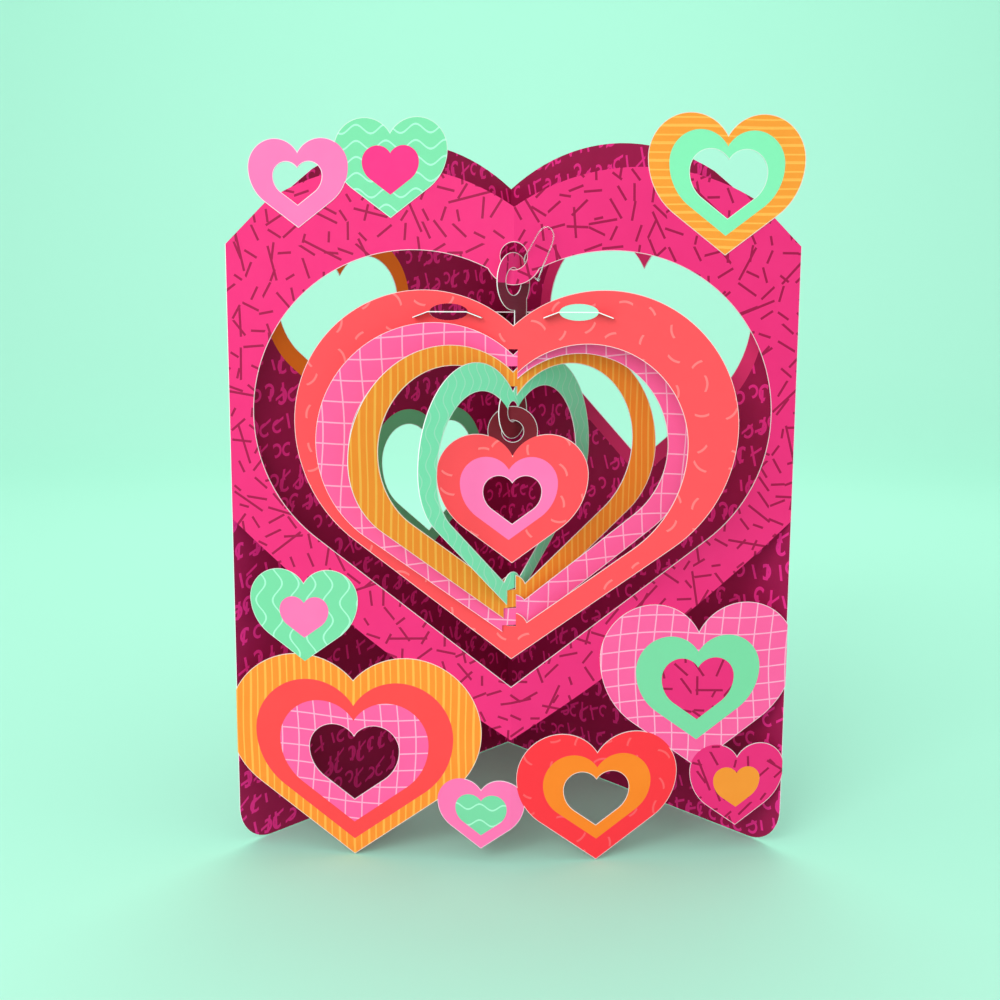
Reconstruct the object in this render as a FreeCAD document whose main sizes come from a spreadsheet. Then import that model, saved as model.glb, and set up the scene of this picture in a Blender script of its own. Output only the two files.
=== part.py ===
import FreeCAD, Part
import math
import os
import Sketcher

# Pop up heart card: a back cover folded at the spine, a front frame folded at the centre,
# a strip of hearts along the foot, and nested heart rings slotted into one another on the axis.
# Millimetres, +Z up, +X to the right, the front faces -Y. The card stands on Z = 0.

doc = FreeCAD.newDocument("pop_up_card")
sheet = doc.addObject("Spreadsheet::Sheet", "Sizes")

SIZES = [
    ("card", 0.3, "thickness of the printed card"),
    ("gap", 0.3, "clearance between pieces that move on each other"),
    ("half_width", 83.5, "centre line to side fold"),
    ("cover_depth", 97.5, "side folds back to the spine"),
    ("nose_depth", 13.0, "side folds forward to the centre fold of the frame"),
    ("shoulder_height", 183.5, "height of the side folds"),
    ("flap", 7.0, "width of the glue flaps along the side folds"),
    ("cover_dip", 208.5, "height of the cover at the spine"),
    ("cover_lobe_radius", 100.7, "radius of the cover's top lobes"),
    ("cover_lobe_end", 95.0, "spine to the end of the lobe, along the panel"),
    ("cover_lobe_end_height", 207.5, "height where the lobe ends"),
    ("cover_corner", 12.0, "radius of the lower corners"),
    ("frame_dip", 193.3, "height of the frame's outline on the axis"),
    ("frame_lobe_radius", 65.1, "radius of the frame's top lobes"),
    ("frame_lobe_end", 71.1, "axis to the end of the lobe"),
    ("frame_lobe_end_height", 195.5, "height where the lobe ends"),
    ("frame_side_low", 103.8, "lower end of the frame's side folds"),
    ("frame_tip", 38.7, "height of the frame's lower tip"),
    ("frame_flank_radius", 500.0, "radius of the frame's lower flanks"),
    ("link_radius", 8.1, "outer radius of the link eyes"),
    ("link_hole", 3.8, "hole radius of the nub and the hanger"),
    ("nub_height", 179.9, "height of the nub's hole"),
    ("hanger_drop", 7.1, "nub's hole down to the hanger's hole"),
    ("hanger_angle", 55.0, "turn of the hanger about the axis"),
    ("hanger_neck", 6.0, "width of the hanger's neck"),
    ("hanger_flap", 8.0, "width of the hanger's glue flap"),
    ("hanger_length", 17.1, "hanger's hole down to its lower edge"),
    ("hanger_flap_height", 5.0, "height of the hanger's glue flap"),
    ("tip_angle", 53.5, "half the angle at a heart's tip, degrees"),
    ("slit", 2.6, "width of the slits in the rings"),
    ("notch", 5.6, "width of the notches in the ring tips"),
    ("bump_radius", 5.0, "radius of the rounded rise at a ring's foot"),
    ("coral_angle", -6.0, "turn of the coral ring about the axis"),
    ("pink_angle", 12.0, "turn of the pink ring"),
    ("orange_angle", 31.0, "turn of the orange ring"),
    ("green_angle", 59.0, "turn of the green ring"),
    ("coral_width", 127.6, "coral ring, across"),
    ("coral_top", 170.5, "top of its lobes"),
    ("coral_dip", 10.0, "depth of its dip"),
    ("coral_tip", 63.5, "height of its tip"),
    ("coral_window_width", 99.4, "window across"),
    ("coral_window_top", 155.4, "top of the window"),
    ("coral_window_dip", 9.6, "depth of the window's dip"),
    ("coral_window_tip", 71.4, "height of the window's tip"),
    ("coral_bump", 72.6, "height of the rise's centre"),
    ("coral_slit_low", 73.5, "height where the lower slit ends"),
    ("pink_width", 112.0, "pink ring, across"),
    ("pink_top", 161.4, "top of its lobes"),
    ("pink_dip", 9.1, "depth of its dip"),
    ("pink_tip", 69.8, "height of its tip"),
    ("pink_window_width", 93.6, "window across"),
    ("pink_window_top", 152.6, "top of the window"),
    ("pink_window_dip", 8.4, "depth of the window's dip"),
    ("pink_window_tip", 78.3, "height of the window's tip"),
    ("pink_bump", 78.0, "height of the rise's centre"),
    ("pink_slit_low", 78.8, "height where the lower slit ends"),
    ("orange_width", 103.0, "orange ring, across"),
    ("orange_top", 155.3, "top of its lobes"),
    ("orange_dip", 7.8, "depth of its dip"),
    ("orange_tip", 74.0, "height of its tip"),
    ("orange_window_width", 85.2, "window across"),
    ("orange_window_top", 149.6, "top of the window"),
    ("orange_window_dip", 10.7, "depth of the window's dip"),
    ("orange_window_tip", 82.3, "height of the window's tip"),
    ("orange_bump", 83.7, "height of the rise's centre"),
    ("orange_slit_low", 84.3, "height where the lower slit ends"),
    ("green_width", 95.4, "green ring, across"),
    ("green_top", 150.8, "top of its lobes"),
    ("green_dip", 9.0, "depth of its dip"),
    ("green_tip", 78.3, "height of its tip"),
    ("green_window_width", 78.2, "window across"),
    ("green_window_top", 142.9, "top of the window"),
    ("green_window_dip", 9.0, "depth of the window's dip"),
    ("green_window_tip", 84.0, "height of the window's tip"),
    ("green_bump", 84.6, "height of the rise's centre"),
    ("tab_radius", 7.8, "outer radius of the green ring's eye"),
    ("tab_hole", 2.9, "its hole radius"),
    ("disc_radius", 7.2, "outer radius of the centre heart's eye"),
    ("disc_hole", 3.1, "its hole radius"),
    ("disc_height", 130.6, "height of its hole"),
    ("strap_drop", 6.2, "coral ring's lobes down to the support strap"),
    ("strap_hole_place", 18.5, "axis to the strap's holes"),
    ("strap_hole_half", 5.5, "half the length of a strap hole"),
    ("strap_hole_rise", 2.35, "half the height of a strap hole"),
    ("strap_stem", 8.0, "width of the strap's stems"),
    ("strap_bar", 3.0, "depth of the strap's cross bars"),
    ("strap_bar_half", 9.75, "half the length of a cross bar"),
    ("strap_droop", 1.6, "drop of the bars' ends"),
    ("strap_front", 8.0, "axis to the strap's front edge"),
    ("strap_reach", 16.0, "spine to the end of the strap's glue flap"),
    ("strap_start", 3.0, "spine to the start of the strap's glue flap"),
    ("strap_flap", 8.0, "height of the strap's glue flaps"),
    ("overcut", 3.0, "how far a cut runs past the edge that it opens"),
    ("thread", 0.4, "thickness of the clear thread"),
    ("knot", 0.6, "radius of the knot"),
]

# Small hearts, solid or open: place across, height of the tip, width, height and dip.
# Those of the strip and the shoulders grow with the card's width.
HEARTS = [
    ("window_left", -84.0, 139.0, 51.0, 43.0, 6.6),
    ("window_low", -43.6, 88.5, 45.0, 38.0, 5.8),
    ("window_right", 66.5, 115.8, 90.0, 74.2, 11.5),
    ("strip_orange", -47.4, 0.0, 77.5, 62.3, 7.6),
    ("strip_orange_hole", -47.3, 17.5, 27.5, 23.3, 3.6),
    ("strip_green", -62.1, 60.0, 32.9, 28.2, 4.3),
    ("strip_small", -8.8, 4.4, 26.2, 21.7, 3.3),
    ("strip_coral", 26.1, 0.0, 48.8, 40.0, 6.2),
    ("strip_coral_hole", 25.9, 11.0, 19.8, 16.8, 2.6),
    ("strip_pink", 56.3, 27.9, 59.9, 50.7, 8.8),
    ("strip_magenta", 69.3, 8.4, 29.6, 26.0, 4.1),
    ("top_pink", -62.4, 187.9, 29.6, 25.0, 3.9),
    ("top_pink_hole", -62.5, 194.3, 14.5, 12.1, 1.9),
    ("top_green", -35.3, 190.5, 32.9, 27.7, 4.3),
    ("top_orange", 61.5, 180.7, 46.7, 39.6, 6.2),
    ("top_orange_hole", 61.9, 191.0, 23.1, 19.4, 3.0),
    ("centre_body", 0.0, 92.2, 43.8, 37.6, 6.3),
    ("centre_hole", 0.0, 103.7, 16.8, 14.0, 2.2),
]
for heart_name, place, tip, width, height, dip in HEARTS:
    SIZES.append((heart_name + "_place", place, "place of the heart's middle across"))
    SIZES.append((heart_name + "_tip", tip, "height of its tip"))
    SIZES.append((heart_name + "_width", width, "across"))
    SIZES.append((heart_name + "_height", height, "tip to lobes"))
    SIZES.append((heart_name + "_dip", dip, "depth of the dip between the lobes"))

SIZES += [
    ("frame_side_bar", 7.3, "width of the frame beside its window"),
    ("frame_window_top", 181.6, "top of the window"),
    ("frame_window_dip", 9.8, "depth of the window's dip"),
    ("frame_window_tip", 55.0, "height of the window's tip"),
    ("strip_overhang", 2.65, "how far the strip's outer hearts reach past the side folds"),
    ("strip_flap_left_low", 32.0, "strip's left glue flap, lower end"),
    ("strip_flap_left_high", 50.0, "upper end"),
    ("strip_flap_right_low", 57.0, "strip's right glue flap, lower end"),
    ("strip_flap_right_high", 69.0, "upper end"),
]

for row, (name, value, note) in enumerate(SIZES, start=1):
    sheet.set("A%d" % row, name)
    sheet.set("B%d" % row, str(value))
    sheet.set("C%d" % row, note)
    sheet.setAlias("B%d" % row, name)
doc.recompute()


# A size is a value with the formula that it comes from, so each feature can be bound to the sheet.
class Size:
    def __init__(self, text, value):
        self.text = text
        self.value = value

    def __add__(self, other):
        return combine(self, "+", other, lambda a, b: a + b)

    def __sub__(self, other):
        return combine(self, "-", other, lambda a, b: a - b)

    def __rsub__(self, other):
        return combine(other, "-", self, lambda a, b: a - b)

    def __mul__(self, other):
        return combine(self, "*", other, lambda a, b: a * b)

    def __truediv__(self, other):
        return combine(self, "/", other, lambda a, b: a / b)

    def __neg__(self):
        return combine(0, "-", self, lambda a, b: a - b)


def as_size(value):
    return value if isinstance(value, Size) else Size(repr(float(value)), float(value))


def combine(left, sign, right, work):
    left, right = as_size(left), as_size(right)
    return Size("(%s %s %s)" % (left.text, sign, right.text), work(left.value, right.value))


def size(name):
    return Size("Sizes." + name, float(sheet.get(name)))


def sine(angle):
    return Size("sin(%s * 1 deg)" % angle.text, math.sin(math.radians(angle.value)))


def cosine(angle):
    return Size("cos(%s * 1 deg)" % angle.text, math.cos(math.radians(angle.value)))


def root(value):
    return Size("sqrt(%s)" % value.text, math.sqrt(value.value))


def bind(thing, prop, value):
    value = as_size(value)
    thing.setExpression(prop, value.text)


def bind_place(thing, x=None, y=None, z=None):
    for letter, value in (("x", x), ("y", y), ("z", z)):
        if value is not None:
            bind(thing, "Placement.Base." + letter, value)


def turn(thing, angle):
    """Turn a finished piece about the vertical through its own origin."""
    clockwise = angle.value < 0
    pole = FreeCAD.Vector(0, 0, -1 if clockwise else 1)
    angle = -angle if clockwise else angle
    rotation = FreeCAD.Rotation(pole, angle.value)
    thing.Placement = FreeCAD.Placement(FreeCAD.Vector(0, 0, 0), rotation)
    thing.setExpression("Placement.Rotation.Angle", "(%s) * 1 deg" % angle.text)


# Plan of the folded card
card, gap = size("card"), size("gap")
half_width, cover_depth, nose_depth = size("half_width"), size("cover_depth"), size("nose_depth")
cover_length = root(half_width * half_width + cover_depth * cover_depth)
cover_cos, cover_sin = half_width / cover_length, cover_depth / cover_length
cover_angle = Size(
    "(atan(%s / %s) / 1 deg)" % (cover_depth.text, half_width.text),
    math.degrees(math.atan(cover_depth.value / half_width.value)),
)
nose_length = root(half_width * half_width + nose_depth * nose_depth)
nose_cos, nose_sin = half_width / nose_length, nose_depth / nose_length
nose_angle = Size(
    "(atan(%s / %s) / 1 deg)" % (nose_depth.text, half_width.text),
    math.degrees(math.atan(nose_depth.value / half_width.value)),
)
fold_sine = cover_sin * nose_cos + cover_cos * nose_sin

# The large orange heart ends at the strip's overhang, and the other hearts grow with it.
orange_reach = size("strip_orange_width") / 2 - size("strip_orange_place")
growth = (half_width + size("strip_overhang")) / orange_reach

# The axis lies so that the origin is in the middle of the card's depth.
green_reach = size("green_width") / 2 * sine(size("green_angle"))
axis = (green_reach - cover_depth - nose_depth - card / cover_cos) / 2
nose_y = axis - card / 2
side_y = nose_y + nose_depth
spine_y = side_y + cover_depth


# Sketches
UPRIGHT = FreeCAD.Rotation(FreeCAD.Vector(1, 0, 0), 90)
FAR = 400.0


def upright_sketch(name):
    sketch = doc.addObject("Sketcher::SketchObject", name)
    sketch.Placement = FreeCAD.Placement(FreeCAD.Vector(0, 0, 0), UPRIGHT)
    return sketch


def constrain(sketch, value, kind, *places):
    """Add a driving dimension, bound to its size."""
    value = as_size(value)
    if kind == "Angle":
        index = sketch.addConstraint(Sketcher.Constraint(kind, *places, math.radians(value.value)))
        sketch.setExpression("Constraints[%d]" % index, "(%s) * 1 deg" % value.text)
        return
    index = sketch.addConstraint(Sketcher.Constraint(kind, *places, value.value))
    sketch.setExpression("Constraints[%d]" % index, value.text)


def heart_sketch(name, width, height, dip):
    """A heart with its tip at the sketch's origin: lobe arc, flank arc and straight side."""
    half = width / 2
    offset = root(half * dip * 2) - dip
    lobe = half - offset
    rise = height - lobe
    tip_angle = size("tip_angle")
    cos_tip, sin_tip = cosine(tip_angle), sine(tip_angle)
    flank = (rise * sin_tip - half * cos_tip) / (1 - cos_tip)
    flank_offset = half - flank

    dip_angle = math.atan2(height.value - dip.value - rise.value, -offset.value)
    foot = -math.radians(tip_angle.value)
    foot_x = flank_offset.value + flank.value * math.cos(foot)
    foot_z = rise.value + flank.value * math.sin(foot)

    sketch = upright_sketch(name)
    vector = FreeCAD.Vector
    shapes = []
    for sign in (1, -1):
        lobe_middle = vector(sign * offset.value, rise.value, 0)
        flank_middle = vector(sign * flank_offset.value, rise.value, 0)
        lobe_circle = Part.Circle(lobe_middle, vector(0, 0, 1), lobe.value)
        flank_circle = Part.Circle(flank_middle, vector(0, 0, 1), flank.value)
        if sign > 0:
            shapes.append(Part.ArcOfCircle(lobe_circle, 0, dip_angle))
            shapes.append(Part.ArcOfCircle(flank_circle, foot, 0))
        else:
            shapes.append(Part.ArcOfCircle(lobe_circle, math.pi - dip_angle, math.pi))
            shapes.append(Part.ArcOfCircle(flank_circle, math.pi, math.pi - foot))
        shapes.append(Part.LineSegment(vector(0, 0, 0), vector(sign * foot_x, foot_z, 0)))
    sketch.addGeometry(shapes, False)
    lobe_right, flank_right, side_right, lobe_left, flank_left, side_left = range(6)
    rule = Sketcher.Constraint
    sketch.addConstraint(
        [
            rule("Coincident", side_right, 1, -1, 1),
            rule("Coincident", side_left, 1, -1, 1),
            rule("Coincident", lobe_right, 2, lobe_left, 1),
            rule("PointOnObject", lobe_right, 2, -2),
            rule("Tangent", lobe_right, 1, flank_right, 2),
            rule("Tangent", lobe_left, 2, flank_left, 1),
            rule("Tangent", flank_right, 1, side_right, 2),
            rule("Tangent", flank_left, 2, side_left, 2),
            rule("Symmetric", lobe_right, 3, lobe_left, 3, -2),
            rule("Symmetric", flank_right, 3, flank_left, 3, -2),
        ]
    )
    constrain(sketch, lobe, "Radius", lobe_right)
    constrain(sketch, offset, "DistanceX", -1, 1, lobe_right, 3)
    constrain(sketch, rise, "DistanceY", -1, 1, lobe_right, 3)
    constrain(sketch, flank, "Radius", flank_right)
    constrain(sketch, rise, "DistanceY", -1, 1, flank_right, 3)
    return sketch


def outline_sketch(name, corners, flat=False):
    """A closed outline of (x, z, radius of the arc to the next corner, 0 for a line)."""
    sketch = doc.addObject("Sketcher::SketchObject", name) if flat else upright_sketch(name)
    count = len(corners)
    points = [FreeCAD.Vector(as_size(x).value, as_size(z).value, 0) for x, z, _ in corners]
    ends = []
    for index, (x, z, radius) in enumerate(corners):
        start, end = points[index], points[(index + 1) % count]
        bulge = as_size(radius).value
        if bulge == 0:
            piece = sketch.addGeometry(Part.LineSegment(start, end), False)
            ends.append((piece, 1, 2))
            continue
        # An arc bulges to the right of its direction of travel where its radius is positive.
        chord = end - start
        side = FreeCAD.Vector(chord.y, -chord.x, 0).normalize() * math.copysign(1, bulge)
        reach = math.sqrt(bulge ** 2 - (chord.Length / 2) ** 2)
        centre = (start + end) / 2 - side * reach
        middle = centre + side * abs(bulge)
        arc = Part.Arc(start, middle, end)
        piece = sketch.addGeometry(arc, False)
        placed = sketch.Geometry[piece]
        forward = placed.StartPoint.distanceToPoint(start) < placed.EndPoint.distanceToPoint(start)
        ends.append((piece, 1, 2) if forward else (piece, 2, 1))
        constrain(sketch, as_size(radius) if bulge > 0 else -as_size(radius), "Radius", piece)
    for index in range(count):
        piece, _, last = ends[index]
        following, first, _ = ends[(index + 1) % count]
        sketch.addConstraint(Sketcher.Constraint("Coincident", piece, last, following, first))
    for index, (x, z, _) in enumerate(corners):
        piece, first, _ = ends[index]
        for kind, axis_line, value in (("DistanceX", -2, as_size(x)), ("DistanceY", -1, as_size(z))):
            if abs(value.value) < 1e-9:
                sketch.addConstraint(Sketcher.Constraint("PointOnObject", piece, first, axis_line))
            elif value.value > 0:
                constrain(sketch, value, kind, -1, 1, piece, first)
            else:
                constrain(sketch, -value, kind, piece, first, -1, 1)
    return sketch


# Solids
def extrude(name, sketch, length, direction=(0, -1, 0), symmetric=True):
    solid = doc.addObject("Part::Extrusion", name)
    solid.Base = sketch
    solid.DirMode = "Custom"
    solid.Dir = FreeCAD.Vector(*direction)
    solid.Solid = True
    solid.Symmetric = symmetric
    bind(solid, "LengthFwd", length)
    return solid


def heart(name, place, tip, width, height, dip, thickness, symmetric=True):
    sketch = heart_sketch(name + "_outline", width, height, dip)
    bind_place(sketch, x=place, z=tip)
    return extrude(name, sketch, thickness, symmetric=symmetric)


def listed_heart(name, thickness, symmetric=True):
    """One of the hearts in the list. Those on the strip and the shoulders grow with the card."""
    tip = size(name + "_tip")
    spread = [size(name + "_" + value) for value in ("place", "width", "height", "dip")]
    if name.startswith("strip"):
        tip = tip * growth
    if name.startswith(("strip", "top")):
        spread = [value * growth for value in spread]
    place, width, height, dip = spread
    return heart(name, place, tip, width, height, dip, thickness, symmetric)


def disc(name, radius, height, length):
    """A round plate that faces the front, its middle on the axis at the given height."""
    solid = doc.addObject("Part::Cylinder", name)
    solid.Placement = FreeCAD.Placement(FreeCAD.Vector(0, 0, 0), UPRIGHT)
    bind(solid, "Radius", radius)
    bind(solid, "Height", length)
    bind_place(solid, y=as_size(length) / 2, z=height)
    return solid


def block(name, x, y, z):
    """A box from its low and high corner values along each axis."""
    solid = doc.addObject("Part::Box", name)
    for (low, high), prop in ((x, "Length"), (y, "Width"), (z, "Height")):
        bind(solid, prop, as_size(high) - low)
    bind_place(solid, x=x[0], y=y[0], z=z[0])
    return solid


def fuse(name, *shapes):
    solid = doc.addObject("Part::MultiFuse", name)
    solid.Shapes = list(shapes)
    solid.Refine = True
    return solid


def cut(name, base, tool):
    solid = doc.addObject("Part::Cut", name)
    solid.Base = base
    solid.Tool = tool
    return solid


def common(name, base, tool):
    solid = doc.addObject("Part::Common", name)
    solid.Base = base
    solid.Tool = tool
    return solid


def prism(name, corners, height):
    """A folded sheet seen from above, standing on the floor."""
    sketch = outline_sketch(name + "_plan", [(x, y, 0) for x, y in corners], flat=True)
    return extrude(name, sketch, height, (0, 0, 1), symmetric=False)


def both_sides(corners):
    """Corners of the right half, from the lowest on the axis to the highest, with their mirror."""
    mirrored = []
    for index in range(len(corners) - 2, 0, -1):
        x, z, _ = corners[index]
        mirrored.append((-x, z, corners[index - 1][2]))
    last_x, last_z, _ = corners[-1]
    return corners[:-1] + [(last_x, last_z, corners[-2][2])] + mirrored


# Back cover: one sheet folded at the spine, with three heart windows
def make_cover():
    out_x, out_y = card * cover_sin, card * cover_cos
    spine_out = spine_y + card / cover_cos
    fold = prism(
        "cover_fold",
        [
            (-half_width, side_y),
            (0, spine_y),
            (half_width, side_y),
            (half_width + out_x, side_y + out_y),
            (0, spine_out),
            (-half_width - out_x, side_y + out_y),
        ],
        size("cover_dip") * 1.2,
    )
    corner, shoulder = size("cover_corner"), size("shoulder_height")
    lobe_end, lobe_height = size("cover_lobe_end"), size("cover_lobe_end_height")
    sides = []
    for side, angle in (("left", cover_angle), ("right", -cover_angle)):
        outline = outline_sketch(
            "cover_outline_" + side,
            both_sides(
                [
                    (0, 0, 0),
                    (cover_length - corner, 0, corner),
                    (cover_length, corner, 0),
                    (cover_length, shoulder, 0),
                    (lobe_end, lobe_height, size("cover_lobe_radius")),
                    (0, size("cover_dip"), 0),
                ]
            ),
        )
        slab = extrude("cover_slab_" + side, outline, card * 12)
        if side == "left":
            windows = fuse(
                "cover_windows_left",
                listed_heart("window_left", card * 20),
                listed_heart("window_low", card * 20),
            )
        else:
            windows = listed_heart("window_right", card * 20)
        panel = cut("cover_panel_" + side, slab, windows)
        turn(panel, angle)
        bind_place(panel, y=spine_y)
        sides.append(panel)
    return common("back_cover", fold, fuse("cover_panels", *sides))


# A sheet folded at the nose and along both side folds, its front face at a given lift
def folded_front(name, lift, height):
    slide = lift / fold_sine
    side = (half_width + slide * cover_cos, side_y - slide * cover_sin)
    nose = nose_y - lift / nose_cos
    flap = size("flap")
    flap_out = (half_width - flap * cover_cos, side_y + flap * cover_sin)
    flap_in = (flap_out[0] - card * cover_sin, flap_out[1] - card * cover_cos)
    inner = card / fold_sine
    bend = (
        side[0] - inner * (cover_cos + nose_cos),
        side[1] + inner * (cover_sin - nose_sin),
    )
    right = [(0, nose), side, flap_out, flap_in, bend, (0, nose + card / nose_cos)]
    left = [(-x, y) for x, y in reversed(right[1:-1])]
    return prism(name, right + left, height)


# Front frame: heart shaped window, and the nub with the eye that carries the rings
def make_frame():
    fold = folded_front("frame_fold", as_size(0), size("cover_dip") * 1.2)
    far_side = half_width + card * 4
    drop = (size("frame_lobe_end_height") - size("shoulder_height")) / (
        half_width - size("frame_lobe_end")
    )
    outline = outline_sketch(
        "frame_outline",
        both_sides(
            [
                (0, size("frame_tip"), size("frame_flank_radius")),
                (far_side, size("frame_side_low"), 0),
                (far_side, size("shoulder_height") - drop * (card * 4), 0),
                (
                    size("frame_lobe_end"),
                    size("frame_lobe_end_height"),
                    size("frame_lobe_radius"),
                ),
                (0, size("frame_dip"), 0),
            ]
        ),
    )
    slab = extrude("frame_slab", outline, FAR)
    top, tip = size("frame_window_top"), size("frame_window_tip")
    window = heart(
        "frame_window", 0, tip, (half_width - size("frame_side_bar")) * 2, top - tip,
        size("frame_window_dip"), FAR,
    )
    nub = disc("frame_nub", size("link_radius"), size("nub_height"), FAR)
    open_window = cut("frame_open_window", window, nub)
    eye = disc("frame_eye", size("link_hole"), size("nub_height"), FAR)
    opening = fuse("frame_openings", open_window, eye)
    return common("front_frame", fold, cut("frame_face", slab, opening))


# Hearts strip: overlapping hearts in one sheet, in front of the frame, on the side folds
def make_strip():
    fold = folded_front("strip_fold", card, size("cover_dip"))
    names = ["orange", "green", "small", "coral", "pink", "magenta"]
    hearts = fuse("strip_hearts", *[listed_heart("strip_" + name, FAR) for name in names])
    front = block("strip_front", (-FAR, FAR), (side_y - FAR, side_y), (0, FAR))
    face = common("strip_face", hearts, front)
    flaps = []
    for side, sign in (("left", -1), ("right", 1)):
        low = size("strip_flap_%s_low" % side) * growth
        high = size("strip_flap_%s_high" % side) * growth
        width = size("flap") * 2
        near = half_width - width
        across = (near, half_width) if sign > 0 else (-half_width, -near)
        flaps.append(
            block(
                "strip_flap_block_" + side, across,
                (side_y - card * 1.2, side_y + width), (low, high),
            )
        )
    body = fuse("strip_body", face, *flaps)
    holes = fuse(
        "strip_holes",
        listed_heart("strip_orange_hole", FAR),
        listed_heart("strip_coral_hole", FAR),
    )
    return common("hearts_strip", fold, cut("strip_cut", body, holes))


# Hearts glued on the frame's shoulders
def make_top_hearts():
    pieces = []
    groups = (
        ("top_left_hearts", ["top_pink", "top_green"], "top_pink_hole", -nose_angle),
        ("top_right_heart", ["top_orange"], "top_orange_hole", nose_angle),
    )
    for name, hearts, hole, angle in groups:
        plates = [listed_heart(heart_name, card, symmetric=False) for heart_name in hearts]
        sheet_of_hearts = plates[0] if len(plates) == 1 else fuse(name + "_sheet", *plates)
        piece = cut(name, sheet_of_hearts, listed_heart(hole, card * 20))
        turn(piece, angle)
        bind_place(piece, y=nose_y)
        pieces.append(piece)
    return pieces


# Heart rings
def make_ring(colour, extra_holes=(), tab=None, slit_top=None, notch_top=None):
    tip, window_tip = size(colour + "_tip"), size(colour + "_window_tip")
    outer = heart(
        colour + "_outer", 0, tip, size(colour + "_width"), size(colour + "_top") - tip,
        size(colour + "_dip"), card,
    )
    window = heart(
        colour + "_window", 0, window_tip, size(colour + "_window_width"),
        size(colour + "_window_top") - window_tip, size(colour + "_window_dip"), card * 4,
    )
    bump, overcut = size(colour + "_bump"), size("overcut")
    kept = [disc(colour + "_rise", size("bump_radius"), bump, card * 6)]
    if tab is not None:
        kept.append(tab)
    keeper = kept[0] if len(kept) == 1 else fuse(colour + "_kept", *kept)
    holes = [cut(colour + "_open_window", window, keeper)]
    half_slit, half_notch = size("slit") / 2, size("notch") / 2
    if slit_top is not None:
        upper_low = size(colour + "_window_top") - size(colour + "_window_dip") - overcut
        holes.append(
            block(
                colour + "_slit_upper", (-half_slit, half_slit), (-card, card),
                (upper_low, slit_top),
            )
        )
        holes.append(
            block(
                colour + "_slit_lower", (-half_slit, half_slit), (-card, card),
                (size(colour + "_slit_low"), bump + size("bump_radius") + overcut),
            )
        )
    if notch_top is not None:
        holes.append(
            block(
                colour + "_notch", (-half_notch, half_notch), (-card, card),
                (tip - overcut, notch_top),
            )
        )
    holes += list(extra_holes)
    ring = cut(colour + "_ring", outer, fuse(colour + "_openings", *holes))
    turn(ring, size(colour + "_angle"))
    bind_place(ring, y=axis)
    return ring


strap_height = size("coral_top") - size("strap_drop")


def dip_height(colour):
    return size(colour + "_top") - size(colour + "_dip")


def make_rings():
    # A slit runs past the dip of the ring in it, so the lobes beside the dip clear its end too.
    slit_rise = size("slit") / 2 + gap
    strap_holes = []
    for side, sign in (("left", -1), ("right", 1)):
        ellipse = doc.addObject("Part::Ellipse", "coral_hole_outline_" + side)
        ellipse.Placement = FreeCAD.Placement(FreeCAD.Vector(0, 0, 0), UPRIGHT)
        bind(ellipse, "MajorRadius", size("strap_hole_half"))
        bind(ellipse, "MinorRadius", size("strap_hole_rise"))
        bind_place(ellipse, x=size("strap_hole_place") * sign, z=strap_height)
        strap_holes.append(extrude("coral_hole_" + side, ellipse, card * 4))
    coral = make_ring("coral", strap_holes, slit_top=dip_height("pink") + slit_rise)
    pink = make_ring(
        "pink", slit_top=dip_height("orange") + slit_rise,
        notch_top=size("coral_slit_low") + gap,
    )
    orange = make_ring(
        "orange", slit_top=dip_height("green") + slit_rise,
        notch_top=size("pink_slit_low") + gap,
    )
    tab_height = size("disc_height") + size("disc_hole") + size("tab_hole") - gap
    tab = disc("green_tab", size("tab_radius"), tab_height, card * 6)
    tab_eye = disc("green_tab_eye", size("tab_hole"), tab_height, card * 6)
    green = make_ring("green", [tab_eye], tab=tab, notch_top=size("orange_slit_low") + gap)
    return [coral, pink, orange, green]


# Centre heart: a heart with an eye above its dip, linked into the green ring's eye
def make_centre_heart():
    body = listed_heart("centre_body", card)
    eye_plate = disc("centre_eye_plate", size("disc_radius"), size("disc_height"), card)
    eye = disc("centre_eye", size("disc_hole"), size("disc_height"), card * 6)
    hole = listed_heart("centre_hole", card * 6)
    piece = cut(
        "centre_heart", fuse("centre_plate", body, eye_plate), fuse("centre_openings", eye, hole)
    )
    bind_place(piece, y=axis)
    return piece


# Hanger: an eye through the frame's nub, with a neck that is glued behind the coral ring
def make_hanger():
    height = size("nub_height") - size("hanger_drop")
    foot = height - size("hanger_length")
    eye_plate = disc("hanger_eye_plate", size("link_radius"), height, card)
    eye = disc("hanger_eye", size("link_hole"), height, card * 6)
    neck_start = card * 2
    neck = block(
        "hanger_neck", (neck_start, neck_start + size("hanger_neck")), (-card / 2, card / 2),
        (foot, height - size("link_hole") - card * 2),
    )
    plate = cut("hanger_plate", fuse("hanger_upright", eye_plate, neck), eye)
    turn(plate, size("hanger_angle"))
    flap = block(
        "hanger_flap", (0, size("hanger_flap")), (card / 2, card * 1.5),
        (foot, foot + size("hanger_flap_height")),
    )
    flap_turn = fuse("hanger_flap_turned", flap, block(
        "hanger_crease", (card, card * 3.4), (card / 2, card * 2.4),
        (foot, foot + size("hanger_flap_height")),
    ))
    turn(flap_turn, size("coral_angle"))
    piece = fuse("hanger_tab", plate, flap_turn)
    bind_place(piece, y=axis)
    return piece


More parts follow.
